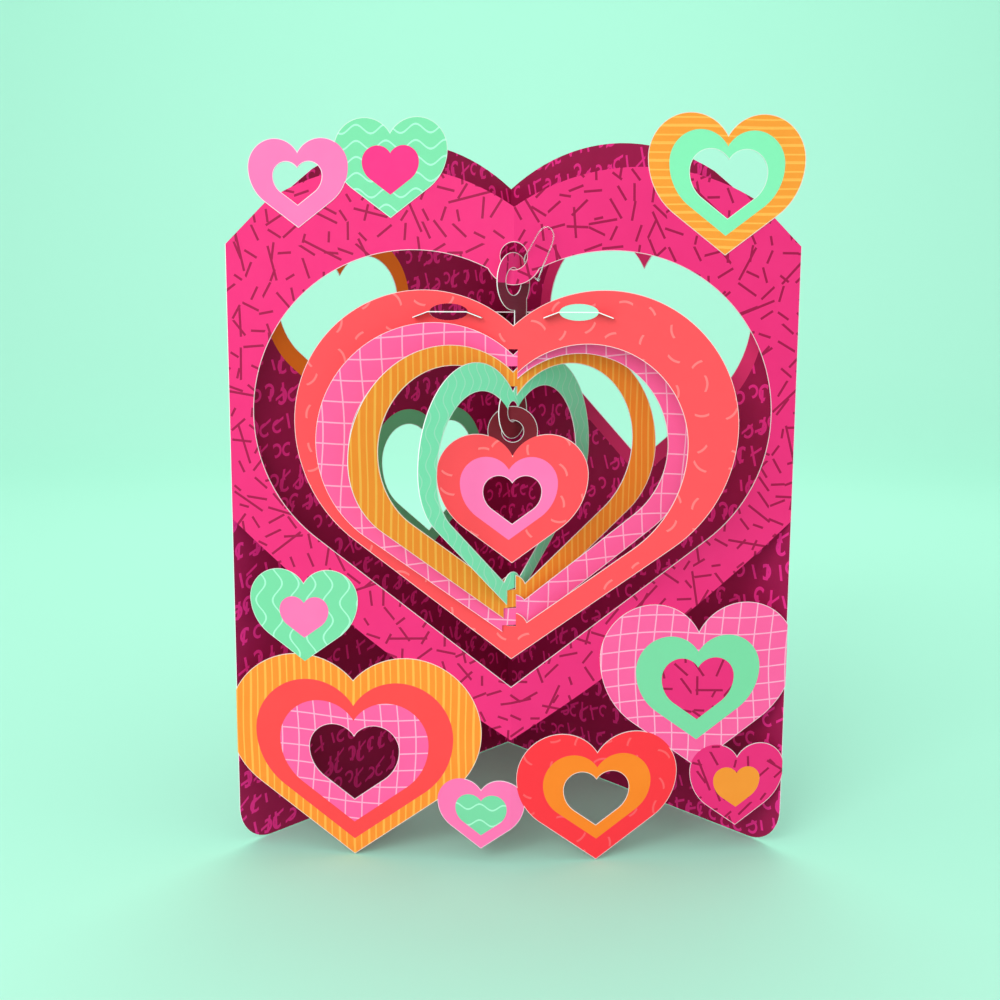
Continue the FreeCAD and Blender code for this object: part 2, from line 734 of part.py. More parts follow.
# Support strap: a level sheet from the back cover, with cross bars in front of the coral ring
def make_strap():
    height = strap_height
    place, stem = size("strap_hole_place"), size("strap_stem") / 2
    bar_half, droop = size("strap_bar_half"), size("strap_droop")
    bar_back = card / 2 + gap
    pieces = []
    for side, sign in (("left", -1), ("right", 1)):
        middle = place * sign
        flat_half = size("strap_hole_half")
        profile = outline_sketch(
            "strap_bar_profile_" + side,
            [
                (middle - flat_half, height - card / 2, 0),
                (middle + flat_half, height - card / 2, 0),
                (middle + bar_half, height - card / 2 - droop, 0),
                (middle + bar_half, height + card / 2 - droop, 0),
                (middle + flat_half, height + card / 2, 0),
                (middle - flat_half, height + card / 2, 0),
                (middle - bar_half, height + card / 2 - droop, 0),
                (middle - bar_half, height - card / 2 - droop, 0),
            ],
        )
        bind_place(profile, y=-bar_back)
        pieces.append(extrude("strap_bar_" + side, profile, size("strap_bar"), symmetric=False))
        pieces.append(
            block(
                "strap_stem_" + side, (middle - stem, middle + stem),
                (-bar_back - card, size("strap_front") + stem),
                (height - card / 2, height + card / 2),
            )
        )
    bars = fuse("strap_bars", *pieces)
    turn(bars, size("coral_angle"))

    reach, start = size("strap_reach"), size("strap_start")
    to_spine = spine_y - axis
    side_x, side_depth = reach * cover_cos, to_spine - reach * cover_sin
    near_x, near_depth = start * cover_cos, to_spine - start * cover_sin
    wide = place + stem
    plan = outline_sketch(
        "strap_plan",
        [
            (-wide, size("strap_front"), 0),
            (wide, size("strap_front"), 0),
            (side_x, side_depth, 0),
            (near_x, near_depth, 0),
            (-near_x, near_depth, 0),
            (-side_x, side_depth, 0),
        ],
        flat=True,
    )
    bind_place(plan, z=height - card / 2)
    table = extrude("strap_table", plan, card, (0, 0, 1), symmetric=False)
    flaps = []
    for side, sign in (("left", -1), ("right", 1)):
        lift_x, lift_y = card * cover_sin * sign, card * cover_cos
        flap_plan = outline_sketch(
            "strap_flap_plan_" + side,
            [
                (side_x * sign, side_depth, 0),
                (near_x * sign, near_depth, 0),
                (near_x * sign - lift_x, near_depth - lift_y, 0),
                (side_x * sign - lift_x, side_depth - lift_y, 0),
            ],
            flat=True,
        )
        bind_place(flap_plan, z=height + card / 2 - size("strap_flap"))
        flaps.append(
            extrude(
                "strap_flap_" + side, flap_plan, size("strap_flap"), (0, 0, 1), symmetric=False
            )
        )
    piece = fuse("support_strap", bars, table, *flaps)
    bind_place(piece, y=axis)
    return piece


# Thread: one clear thread tied through the frame's eye, its ends in a small knot
THREAD_ROUTE = [
    (7.1, -0.9, 174.0),
    (8.2, -1.3, 177.2),
    (9.8, -2.0, 180.9),
    (11.1, -2.6, 184.4),
    (10.8, -2.9, 186.8),
    (9.2, -3.0, 188.0),
    (7.3, -2.8, 187.0),
    (5.8, -2.3, 184.4),
    (4.4, -1.5, 181.8),
    (3.0, -0.3, 179.6),
    (3.0, 1.3, 178.0),
    (4.2, 2.1, 175.8),
    (6.0, 1.9, 173.9),
    (6.8, 0.5, 173.2),
]
KNOT_PLACE = (6.9, -0.35, 173.4)


def make_thread():
    points = [FreeCAD.Vector(x, y + axis.value, z) for x, y, z in THREAD_ROUTE]
    lengths = [a.distanceToPoint(b) for a, b in zip(points, points[1:])]
    diameter = size("thread").value
    edges = []
    at = points[0]
    radii = []
    for index in range(1, len(points) - 1):
        before = (points[index] - points[index - 1]).normalize()
        after = (points[index + 1] - points[index]).normalize()
        half_turn = before.getAngle(after) / 2
        trim = 0.45 * min(lengths[index - 1], lengths[index])
        radii.append(trim / math.tan(half_turn))
        first = points[index] - before * trim
        last = points[index] + after * trim
        inward = (after - before).normalize()
        centre_reach = radii[-1] / math.cos(half_turn)
        middle = points[index] + inward * (centre_reach - radii[-1])
        edges.append(Part.LineSegment(at, first).toShape())
        edges.append(Part.Arc(first, middle, last).toShape())
        at = last
    edges.append(Part.LineSegment(at, points[-1]).toShape())
    path = Part.Wire(edges)
    ring = Part.Wire(Part.Circle(points[0], points[1] - points[0], diameter / 2).toShape())
    tube = path.makePipeShell([ring], True, True)
    expected = math.pi * diameter ** 2 / 4 * path.Length
    print("thread radii", [round(radius, 2) for radius in radii])
    print("thread length %.1f volume %.3f expected %.3f" % (path.Length, tube.Volume, expected))
    thread = doc.addObject("Part::Feature", "thread_loop")
    thread.Shape = tube
    knot = doc.addObject("Part::Sphere", "thread_knot")
    bind(knot, "Radius", size("knot"))
    x, y, z = KNOT_PLACE
    bind_place(knot, x=x, y=axis + y, z=z)
    return [thread, knot]


nodes = [make_cover(), make_frame(), make_strip()]
nodes += make_top_hearts()
nodes += make_rings()
nodes += [make_centre_heart(), make_hanger(), make_strap()]
nodes += make_thread()
for node in nodes:
    node.Label = node.Name
doc.recompute()

# Nothing is written unless every feature is sound.
for thing in doc.Objects:
    if {"Invalid", "Error"} & set(thing.State):
        raise RuntimeError("%s failed: %s" % (thing.Name, thing.State))
for node in nodes:
    shape = node.Shape
    if shape.isNull() or not shape.isValid():
        raise RuntimeError("%s has no valid shape" % node.Name)
    if len(shape.Solids) != 1:
        raise RuntimeError("%s has %d solids" % (node.Name, len(shape.Solids)))

os.makedirs("parts", exist_ok=True)
for node in nodes:
    node.Shape.exportStep(os.path.join("parts", node.Label + ".step"))
    box = node.Shape.BoundBox
    print(
        "%-16s volume %9.2f  x %.1f %.1f  y %.1f %.1f  z %.1f %.1f"
        % (node.Label, node.Shape.Volume, box.XMin, box.XMax, box.YMin, box.YMax, box.ZMin, box.ZMax)
    )
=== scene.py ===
# %% [markdown]
# # A pop up heart card
# The card stands on a table, half open. Its cover is a sheet folded at the spine, its front is a
# sheet with a heart shaped window, and heart rings hang in that window, slotted into each other.
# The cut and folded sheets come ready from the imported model, so this lesson is mostly about
# printed card: how to draw hearts, grids, stripes and dashes in a material, with no pictures.

# %% Load the card
import math

import bpy
from mathutils import Matrix, Vector


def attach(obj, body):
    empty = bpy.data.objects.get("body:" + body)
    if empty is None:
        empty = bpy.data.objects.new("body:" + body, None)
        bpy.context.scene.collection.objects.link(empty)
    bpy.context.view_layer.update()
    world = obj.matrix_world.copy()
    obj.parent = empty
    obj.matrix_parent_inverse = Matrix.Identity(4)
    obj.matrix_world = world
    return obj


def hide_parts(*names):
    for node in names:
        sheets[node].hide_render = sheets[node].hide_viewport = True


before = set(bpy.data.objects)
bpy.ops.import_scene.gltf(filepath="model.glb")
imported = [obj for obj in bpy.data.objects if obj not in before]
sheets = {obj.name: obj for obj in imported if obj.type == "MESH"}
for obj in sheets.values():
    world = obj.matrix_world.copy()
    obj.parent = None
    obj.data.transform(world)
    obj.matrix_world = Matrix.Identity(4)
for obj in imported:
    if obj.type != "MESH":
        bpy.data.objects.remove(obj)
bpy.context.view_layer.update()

print("sheets:", ", ".join(sorted(sheets)))

# %% [markdown]
# ## The measures that the prints need
# The prints follow the folds, so the lesson needs the slope of each panel. A panel that turns
# away from the front by an angle is shorter seen from the front by the cosine of that angle.
# All print sizes below are in millimetres, and the scene itself is in metres.

# %% Measures of the folded card
MM = 0.001
PER_METRE = 1000
half_width, cover_depth, nose_depth = 83.5, 97.5, 13.0
axis_y = -35.037
cover_turn = -math.degrees(math.atan(cover_depth / half_width))
front_turn = math.degrees(math.atan(nose_depth / half_width))
print("cover panels turn %.1f, front panels turn %.1f degrees" % (cover_turn, front_turn))

# %% [markdown]
# ## The camera
# The photograph was taken from a little above, close to the card. A lens of 46 mm on a 36 mm
# frame gives the same perspective, so the far cover looks as small as it does there.

# %% Camera
lens, pitch, roll = 45.79, 8.36, 0.278
to_the_side, in_front, eye_height = -3.53, 362.83, 164.0
camera = bpy.data.objects.new("camera", bpy.data.cameras.new("camera"))
bpy.context.collection.objects.link(camera)
camera.data.lens = lens
camera.data.sensor_width = 36
camera.data.clip_start = 0.01
tilted = Matrix.Rotation(math.radians(90 - pitch), 4, "X")
tilted = tilted @ Matrix.Rotation(math.radians(roll), 4, "Z")
stand = Vector((to_the_side, axis_y - in_front, eye_height)) * MM
camera.matrix_world = Matrix.Translation(stand) @ tilted
bpy.context.scene.camera = camera
print("camera", [round(value, 4) for value in camera.location])

# %% [markdown]
# ## The clear thread
# A nylon thread runs through the eye at the top of the frame. A curve with a round bevel is a
# thread already, so only its route has to be right. The route's points steer a smooth curve.

# %% Thread
thread_route = [
    (7.1, -0.9, 174.0), (8.2, -1.3, 177.2), (9.8, -2.0, 180.9), (11.1, -2.6, 184.4),
    (10.8, -2.9, 186.8), (9.2, -3.0, 188.0), (7.3, -2.8, 187.0), (5.8, -2.3, 184.4),
    (4.4, -1.5, 181.8), (3.0, -0.3, 179.6), (3.0, 1.3, 178.0), (4.2, 2.1, 175.8),
    (6.0, 1.9, 173.9), (6.8, 0.5, 173.2),
]
thread_diameter = 0.4
route = [(x * MM, (y + axis_y) * MM, z * MM) for x, y, z in thread_route]
thread_curve = bpy.data.curves.new("clear_thread", "CURVE")
thread_curve.dimensions = "3D"
thread_curve.bevel_depth = thread_diameter / 2 * MM
thread_curve.bevel_resolution = 3
thread_curve.use_fill_caps = True
spline = thread_curve.splines.new("NURBS")
spline.points.add(len(route) - 1)
for point, place in zip(spline.points, route):
    point.co = (*place, 1)
spline.order_u = 3
spline.use_endpoint_u = True
spline.resolution_u = 10
thread = bpy.data.objects.new("clear_thread", thread_curve)
bpy.context.collection.objects.link(thread)
print("thread points", len(route))

# %% [markdown]
# ## The knot in the thread
# The ends meet in a tiny overhand knot, two turns of the thread pulled tight across each other.
# Two small tori laid across each other read as that knot, at a size where its run can't be seen.

# %% Knot
knot_place = Vector((6.9 * MM, (axis_y - 0.35) * MM, 173.4 * MM))
bpy.ops.object.select_all(action="DESELECT")
turns = []
for tilt in ((20, 15, 0), (80, 0, 55)):
    bpy.ops.mesh.primitive_torus_add(
        location=knot_place, rotation=[math.radians(angle) for angle in tilt],
        major_segments=28, minor_segments=10, major_radius=0.38 * MM, minor_radius=0.2 * MM,
    )
    turns.append(bpy.context.object)
for turn in turns:
    turn.select_set(True)
bpy.context.view_layer.objects.active = turns[0]
bpy.ops.object.join()
bpy.ops.object.transform_apply(location=True, rotation=True, scale=True)
bpy.ops.object.shade_smooth()
knot = bpy.context.object
knot.name = "tied_knot"
print("knot faces", len(knot.data.polygons))

# %% [markdown]
# ## Writing a material as sums
# A print is drawn with sums on the place of a point. A small class wraps a socket of the node
# tree, so that `x * 2 + 1` adds the two Math nodes by itself, and `1 - x` adds one. A comparison
# gives a mask, which is 1 where it holds and 0 elsewhere, so the product of two masks is where
# both hold.

# %% A value in a material
class Value:
    def __init__(self, tree, socket):
        self.tree = tree
        self.socket = socket

    def result(self, operation, *values):
        node = self.tree.nodes.new("ShaderNodeMath")
        node.operation = operation
        for slot, value in zip(node.inputs, values):
            if isinstance(value, Value):
                self.tree.links.new(value.socket, slot)
            else:
                slot.default_value = value
        return Value(self.tree, node.outputs[0])

    def work(self, operation, *others):
        return self.result(operation, self, *others)

    def __add__(self, other):
        return self.work("ADD", other)

    def __radd__(self, other):
        return self.result("ADD", other, self)

    def __sub__(self, other):
        return self.work("SUBTRACT", other)

    def __rsub__(self, other):
        return self.result("SUBTRACT", other, self)

    def __mul__(self, other):
        return self.work("MULTIPLY", other)

    def __rmul__(self, other):
        return self.result("MULTIPLY", other, self)

    def __truediv__(self, other):
        return self.work("DIVIDE", other)

    def __rtruediv__(self, other):
        return self.result("DIVIDE", other, self)

    def __lt__(self, other):
        return self.work("LESS_THAN", other)

    def __gt__(self, other):
        return self.work("GREATER_THAN", other)

    def __abs__(self):
        return self.work("ABSOLUTE")

    def root(self):
        return self.work("SQRT")


# %% [markdown]
# ## The printed sheet
# Every sheet is the same card: a matt print on white stock. The class below holds what they
# share. It finds the place along the panel and the height, tells a printed face from a cut edge
# by its normal, and ends in one shader with a fine paper grain. Each sheet adds only its print.

# %% Colours and the printed sheet
WHITE_STOCK = "F3EEF0"
EDGE_LIMIT = 0.6
RIM_STRENGTH = 0.6


def ink(code):
    """A colour as it is written for a screen, turned into light."""
    parts = [int(code[index:index + 2], 16) / 255 for index in (0, 2, 4)]
    light = [p / 12.92 if p <= 0.04045 else ((p + 0.055) / 1.055) ** 2.4 for p in parts]
    return (*light, 1)


class PrintedSheet:
    def __init__(self, name, turn=0.0, folded=False):
        self.material = bpy.data.materials.new(name)
        self.material.use_nodes = True
        self.tree = self.material.node_tree
        self.shader = next(n for n in self.tree.nodes if n.type == "BSDF_PRINCIPLED")
        place = self.node("ShaderNodeTexCoord")
        spot = self.node("ShaderNodeSeparateXYZ", {}, {0: place["Object"]})
        normal = self.node("ShaderNodeSeparateXYZ", {}, {0: place["Normal"]})
        self.spot = place["Object"]
        self.x, self.z = spot["X"] * PER_METRE, spot["Z"] * PER_METRE
        self.along = self.x / math.cos(math.radians(turn))
        side = self.x.work("SIGN") if folded else 1  # the two panels turn opposite ways
        across = normal["X"] * -math.sin(math.radians(turn)) * side
        self.facing = abs(across + normal["Y"] * math.cos(math.radians(turn)))
        self.edge = self.facing < EDGE_LIMIT

    def node(self, kind, settings=None, inputs=None):
        node = self.tree.nodes.new(kind)
        for name, value in (settings or {}).items():
            setattr(node, name, value)
        for name, value in (inputs or {}).items():
            if isinstance(value, Value):
                self.tree.links.new(value.socket, node.inputs[name])
            else:
                node.inputs[name].default_value = value
        return {out.name: Value(self.tree, out) for out in node.outputs if out.enabled}

    def mix(self, mask, base, top):
        """The top colour where the mask is 1, and the base elsewhere."""
        return self.node(
            "ShaderNodeMix", {"data_type": "RGBA"}, {0: mask, 6: base, 7: top}
        )["Result"]

    def noise(self, size, detail=2.0):
        """Cloudy noise from 0 to 1 whose blots are about that many millimetres across."""
        scale = PER_METRE / size
        return self.node(
            "ShaderNodeTexNoise", {}, {"Vector": self.spot, "Scale": scale, "Detail": detail}
        )["Fac"]

    def round_plate(self, height, radius):
        """Distance from a round plate or hole on the axis, negative inside it."""
        up = self.z - height
        return (self.along * self.along + up * up).root() - radius

    def finish(self, colour, rim=None):
        """White cut edges, a thin pale rim where the cut breaks the print, and the paper grain."""
        white = ink(WHITE_STOCK)
        if rim is not None:
            colour = self.mix(rim * RIM_STRENGTH, colour, white)
        colour = self.mix(self.edge, colour, white)
        self.tree.links.new(colour.socket, self.shader.inputs["Base Color"])
        roughness = self.noise(3.0) * 0.16 + 0.52
        self.tree.links.new(roughness.socket, self.shader.inputs["Roughness"])
        grain = self.noise(0.5, 4.0)
        bump = self.node(
            "ShaderNodeBump", {}, {"Height": grain, "Strength": 0.12, "Distance": 0.04 * MM}
        )["Normal"]
        self.tree.links.new(bump.socket, self.shader.inputs["Normal"])
        self.shader.inputs["Specular IOR Level"].default_value = 0.2
        return self.material


# %% [markdown]
# ## A heart in sums
# All hearts of the card have one shape: two lobe arcs, two flank arcs and two straight sides.
# The sum below gives the distance of a point from that outline, negative inside the heart. With
# it a heart is filled where the distance is below zero, and a band follows it at any width. Two
# shapes join by the smaller of their distances, and what both hold has the larger one.

# %% Distance from a heart
TIP_ANGLE = math.radians(53.5)
PRINTED_DIP = 0.155


def choose(mask, yes, no):
    return no + (yes - no) * mask


def joined(*shapes):
    whole = shapes[0]
    for shape in shapes[1:]:
        whole = whole.work("MINIMUM", shape)
    return whole


def shared(one, other):
    return one.work("MAXIMUM", other)


def heart_distance(across, height, middle, tip, width, tall, dip):
    """Distance from a heart's outline, negative inside it. Only the tip is a place in height."""
    half = width / 2
    offset = math.sqrt(2 * dip * half) - dip
    lobe = half - offset
    rise = tall - lobe
    cosine, sine = math.cos(TIP_ANGLE), math.sin(TIP_ANGLE)
    flank = (rise * sine - half * cosine) / (1 - cosine)
    a = abs(across - middle)
    b = height - (tip + rise)
    lobe_a, flank_a = a - offset, a - (half - flank)
    from_lobe = (lobe_a * lobe_a + b * b).root() - lobe
    from_flank = (flank_a * flank_a + b * b).root() - flank
    from_side = a * cosine - (b + rise) * sine
    on_flank = (flank_a * sine + b * cosine) > 0
    return choose(b > 0, from_lobe, choose(on_flank, from_flank, from_side))


def printed_heart(across, height, middle, tip, width, top):
    """Mask of a printed heart, whose dip is the same part of its height in all of them."""
    tall = top - tip
    return heart_distance(across, height, middle, tip, width, tall, tall * PRINTED_DIP) < 0


# %% [markdown]
# ## Dashes and scribbles
# The dashes lie at random. A Voronoi texture gives each cell a centre and a random colour, and
# the colour turns into the dash's direction and length. The scribbles stand in rows instead: a
# white noise gives each place in a row its own mix of a stroke, a hook and a bar. Rows and lines
# are counted from a place far off the card, so that no count is negative.

# %% Dashes and scribbles
FAR_OFF = 500


def dashes(sheet, cell, shortest, longest, width, shift=0.0, bend=0.0):
    """Random strokes, one to a cell of that size. A bend curves them."""
    flat = sheet.node(
        "ShaderNodeCombineXYZ", {}, {"X": sheet.along + shift, "Y": sheet.z + shift * 0.7}
    )["Vector"]
    cells = sheet.node(
        "ShaderNodeTexVoronoi", {"voronoi_dimensions": "2D"},
        {"Vector": flat, "Scale": 1 / cell, "Randomness": 0.6},
    )
    local = sheet.node(
        "ShaderNodeVectorMath", {"operation": "SUBTRACT"}, {0: flat, 1: cells["Position"]}
    )["Vector"]
    local = sheet.node("ShaderNodeSeparateXYZ", {}, {0: local})
    chance = sheet.node("ShaderNodeSeparateColor", {}, {0: cells["Color"]})
    angle = chance["Red"] * 2 * math.pi
    cosine, sine = angle.work("COSINE"), angle.work("SINE")
    forward = local["X"] * cosine + local["Y"] * sine
    sideways = local["Y"] * cosine - local["X"] * sine
    if bend:
        sideways = sideways + forward * forward * bend
    reach = (chance["Green"] * (longest - shortest) + shortest) / 2
    return (abs(forward) < reach) * (abs(sideways) < width / 2)


def scribbles(sheet, row_height, step, width, slope):
    """Rows of loose strokes, hooks and bars that run a little uphill.

    The numbers that steer a mark are parts of a row's height, of a step or of chance.
    """
    height = (sheet.z - sheet.along * slope + FAR_OFF) / row_height
    row = height.work("FLOOR")
    place = (sheet.along + row * 3.7 + FAR_OFF) / step
    column = place.work("FLOOR")
    spot = sheet.node("ShaderNodeCombineXYZ", {}, {"X": column, "Y": row})["Vector"]
    noise = sheet.node("ShaderNodeTexWhiteNoise", {"noise_dimensions": "2D"}, {"Vector": spot})
    chance = sheet.node("ShaderNodeSeparateColor", {}, {0: noise["Color"]})
    red, green, blue = chance["Red"], chance["Green"], chance["Blue"]
    x = (place - column - 0.5) * step
    y = (height - row - 0.5) * row_height
    side = (blue > 0.5) * 2 - 1
    lean = x - y * (red - 0.45) * 0.8 + side * step * 0.2
    stroke = (abs(lean) < width / 2) * (abs(y) < row_height * 0.22 * (green + 0.8)) * (red < 0.72)
    hook_x, hook_y = x * side + step * 0.05, y + row_height * (green - 0.5) * 0.4
    far = (hook_x * hook_x + hook_y * hook_y * (red * 0.7 + 0.4)).root()
    hook = abs(far - step * 0.35) < width / 2
    hook = hook * (hook_x + hook_y * (green - 0.5) < step * 0.18) * (red > 0.3)
    bar = abs(y - x * (green - 0.3) - row_height * (blue - 0.5) * 0.5) < width / 2
    bar = bar * (abs(x) < step * 0.42) * (green > 0.48)
    return stroke.work("MAXIMUM", hook).work("MAXIMUM", bar)


# %% [markdown]
# ## Grids, stripes and waves
# These are sums on the place alone, repeated with a fraction. A slow sine makes the lines lean
# a little, because on the card they look drawn by hand.

# %% Grids, stripes and waves
def lines(position, spacing, width):
    """Lines of that width, one in each spacing."""
    return (abs(((position + FAR_OFF) / spacing).work("FRACT") - 0.5) * spacing) < width / 2


def sway(value, period, reach):
    return (value * (2 * math.pi / period)).work("SINE") * reach


def grid(sheet, spacing, width=0.4):
    upright = lines(sheet.along + sway(sheet.z, period=48.0, reach=0.7), spacing, width)
    level = lines(sheet.z + sway(sheet.along, period=57.0, reach=0.9), spacing, width)
    return upright.work("MAXIMUM", level)


def stripes(position, other, spacing):
    """Fine lines in pairs, the second of a pair a little nearer and thinner."""
    drawn = position + sway(other, period=31.0, reach=0.15)
    every, second = lines(drawn, spacing, 0.42), lines(drawn + 0.8, spacing * 2, 0.28)
    return every.work("MAXIMUM", second)


def waves(position, other, spacing, period, reach):
    return lines(position + sway(other, period, reach), spacing, width=0.55)


# %% [markdown]
# ## The finished prints
# Each print is a ground colour with one of those patterns over it. A little cloudy noise in the
# ground keeps it from looking like a screen, as the ink on real card is never quite even. Only
# coral and green are the same all over.

# %% Prints
def tint(sheet, code, darker):
    return sheet.mix(sheet.noise(9.0), ink(code), ink(darker))


def dashed_magenta(sheet):
    small = dashes(sheet, cell=5.6, shortest=2.4, longest=7.0, width=0.7)
    long = dashes(sheet, cell=14.0, shortest=8.0, longest=13.0, width=0.7, shift=31.0)
    strokes = small.work("MAXIMUM", long)
    return sheet.mix(strokes, tint(sheet, "F02A79", "E92472"), ink("A00844"))


def plain_magenta(sheet):
    return tint(sheet, "FA2C80", "F4267A")


def marked_wine(sheet):
    marks = scribbles(sheet, row_height=9.0, step=5.0, width=0.9, slope=0.12)
    return sheet.mix(marks, tint(sheet, "A6124F", "960E46"), ink("F02C8C"))


def marked_coral(sheet, code="FC4A52", mark="FF888A"):
    marks = dashes(sheet, cell=8.0, shortest=2.6, longest=4.8, width=0.65, shift=5.0, bend=0.12)
    return sheet.mix(marks * 0.6, ink(code), ink(mark))


def plain_pink(sheet):
    return tint(sheet, "FF74B0", "FB6CAA")


def grid_pink(sheet, spacing=5.9):
    return sheet.mix(grid(sheet, spacing) * 0.8, tint(sheet, "FF5F9F", "FB5898"), ink("FFB0D0"))


def striped_orange(sheet):
    drawn = stripes(sheet.along, sheet.z, spacing=2.3)
    return sheet.mix(drawn * 0.6, tint(sheet, "FC8E30", "F68628"), ink("FFBE55"))


def waved_green(sheet, upright=False, spacing=4.4, period=8.6, reach=1.2, code="79CEA0"):
    places = (sheet.along, sheet.z) if upright else (sheet.z, sheet.along)
    drawn = waves(*places, spacing, period, reach)
    return sheet.mix(drawn * 0.7, ink(code), ink("B8F2D8"))


def dark_wine(sheet):
    return tint(sheet, "7A0C22", "6C081C")


def dress(node, material):
    """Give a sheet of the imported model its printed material."""
    sheets[node].data.materials.clear()
    sheets[node].data.materials.append(material)
    print("printed", node)


# %% [markdown]
# ## The cover
# The cover is wine coloured with loose magenta scribbles. A coloured band runs round each of
# its three heart windows. The distance from the window's outline, below the width of the band,
# is the whole drawing.

# %% Cover
RIM = 0.18  # the pale line of bare paper along a cut
cover = PrintedSheet("cover_print", cover_turn, folded=True)
windows = [  # ((middle, tip, width, height, dip), width of the band, its colour)
    ((66.5, 115.8, 90.0, 74.2, 11.5), 5.0, "E03070"),
    ((-84.0, 139.0, 51.0, 43.0, 6.6), 5.5, "FA7A1C"),
    ((-43.6, 88.5, 45.0, 38.0, 5.8), 5.0, "74D098"),
]
colour = marked_wine(cover)
outlines = []
for shape, band, code in windows:
    distance = heart_distance(cover.along, cover.z, *shape)
    colour = cover.mix(distance < band, colour, ink(code))
    outlines.append(distance)
dress("back_cover", cover.finish(colour, joined(*outlines) < RIM))

# %% [markdown]
# ## The front frame
# The frame is magenta with darker dashes in every direction. Its window is cut as a heart with
# a round nub left in its dip, and the cut shows as a thin white line.

# %% Frame
front = PrintedSheet("frame_print", front_turn, folded=True)
nub_height, nub_radius, eye_radius = 179.9, 8.1, 3.8
opening = heart_distance(front.x, front.z, middle=0, tip=55.0, width=152.4, tall=126.6, dip=9.8)
opening = shared(opening, 0 - front.round_plate(nub_height, nub_radius))
opening = joined(opening, front.round_plate(nub_height, eye_radius))
dress("front_frame", front.finish(dashed_magenta(front), opening < RIM))

# %% [markdown]
# ## The strip of hearts
# Six hearts overlap in one sheet. They are painted from the back to the front, each with the
# smaller hearts inside it, so a later heart covers an earlier one as it does on the card.

# %% Strip
strip = PrintedSheet("strip_print", front_turn, folded=True)
outer = [  # ((middle, tip, width, height, dip), print)
    ((-47.4, 0.0, 77.5, 62.3, 7.6), striped_orange(strip)),
    ((56.3, 27.9, 59.9, 50.7, 8.8), grid_pink(strip, 5.2)),
    ((-8.8, 4.4, 26.2, 21.7, 3.3), plain_pink(strip)),
    ((26.1, 0.0, 48.8, 40.0, 6.2), marked_coral(strip, "FF323E", "FF6A70")),
    ((69.3, 8.4, 29.6, 26.0, 4.1), dashed_magenta(strip)),
    ((-62.1, 60.0, 32.9, 28.2, 4.3), waved_green(strip, True, 5.2, 10.8, 1.5)),
]
inner = [  # for each of those, ((middle, tip, width, top), print)
    [((-47.4, 4.9, 60.5, 54.5), tint(strip, "FC4648", "F84044")),
     ((-47.4, 10.3, 45.6, 48.0), grid_pink(strip, 5.2))],
    [((56.3, 36.4, 38.0, 68.7), ink("7CCEA0")),
     ((56.3, 42.7, 22.2, 61.8), dashed_magenta(strip))],
    [((-8.8, 8.6, 15.4, 21.3), waved_green(strip, False, 5.0, 7.4, 0.9))],
    [((26.1, 6.6, 32.7, 33.2), tint(strip, "FF8424", "FA7E1E"))],
    [((69.3, 14.2, 14.6, 27.0), tint(strip, "FB9434", "F58C2C"))],
    [((-62.1, 67.2, 15.0, 79.8), plain_pink(strip))],
]
colour = ink("F4EFF1")
outlines = []
for (shape, ground), prints in zip(outer, inner):
    distance = heart_distance(strip.x, strip.z, *shape)
    painted = ground
    for heart, over in prints:
        painted = strip.mix(printed_heart(strip.x, strip.z, *heart), painted, over)
    colour = strip.mix(distance < 0, colour, painted)
    outlines.append(distance)
holes = [
    heart_distance(strip.x, strip.z, *shape)
    for shape in ((-47.3, 17.5, 27.5, 23.3, 3.6), (25.9, 11.0, 19.8, 16.8, 2.6))
]
rim = (joined(*outlines) > -RIM).work("MAXIMUM", joined(*holes) < RIM)
dress("hearts_strip", strip.finish(colour, rim))

# %% [markdown]
# ## The hearts on the shoulders
# A pink and a green heart stand on the left shoulder, and an orange one on the right. They use
# the distance along the panel, not across the front, because they were cut flat and glued on.

# %% Shoulder hearts
shoulder = PrintedSheet("left_shoulder_print", front_turn, folded=True)
green_heart = heart_distance(shoulder.along, shoulder.z, -35.3, 190.5, 32.9, 27.7, 4.3)
pink_heart = heart_distance(shoulder.along, shoulder.z, -62.4, 187.9, 29.6, 25.0, 3.9)
pink_hole = heart_distance(shoulder.along, shoulder.z, -62.5, 194.3, 14.5, 12.1, 1.9)
magenta_print = printed_heart(shoulder.along, shoulder.z, -35.3, 196.9, 16.5, 210.5)
colour = shoulder.mix(magenta_print, waved_green(shoulder), plain_magenta(shoulder))
colour = shoulder.mix(pink_heart < 0, colour, plain_pink(shoulder))
rim = (joined(green_heart, pink_heart) > -RIM).work("MAXIMUM", pink_hole < RIM)
dress("top_left_hearts", shoulder.finish(colour, rim))

right = PrintedSheet("right_shoulder_print", front_turn, folded=True)
drawn = stripes(right.z, right.along, spacing=2.4)
colour = right.mix(drawn * 0.6, tint(right, "FB9836", "F5902E"), ink("FFC25C"))
green_print = printed_heart(right.along, right.z, 61.5, 186.2, 34.3, 215.7)
colour = right.mix(green_print, colour, ink("86E0B0"))
orange_heart = heart_distance(right.along, right.z, 61.5, 180.7, 46.7, 39.6, 6.2)
orange_hole = heart_distance(right.along, right.z, 61.9, 191.0, 23.1, 19.4, 3.0)
rim = (orange_heart > -RIM).work("MAXIMUM", orange_hole < RIM)
dress("top_right_heart", right.finish(colour, rim))

# %% [markdown]
# ## The rings
# Four heart rings turn on one upright line. Each keeps its own print, and each material knows
# by how much its ring is turned, so that the pattern isn't stretched on a ring seen from aside.
# A round bump stands in the foot of each window, and the rim follows it.

# %% Rings
def upright_waves(sheet):
    return waved_green(sheet, True, 4.1, 8.2, 1.2, "8CF0C4")


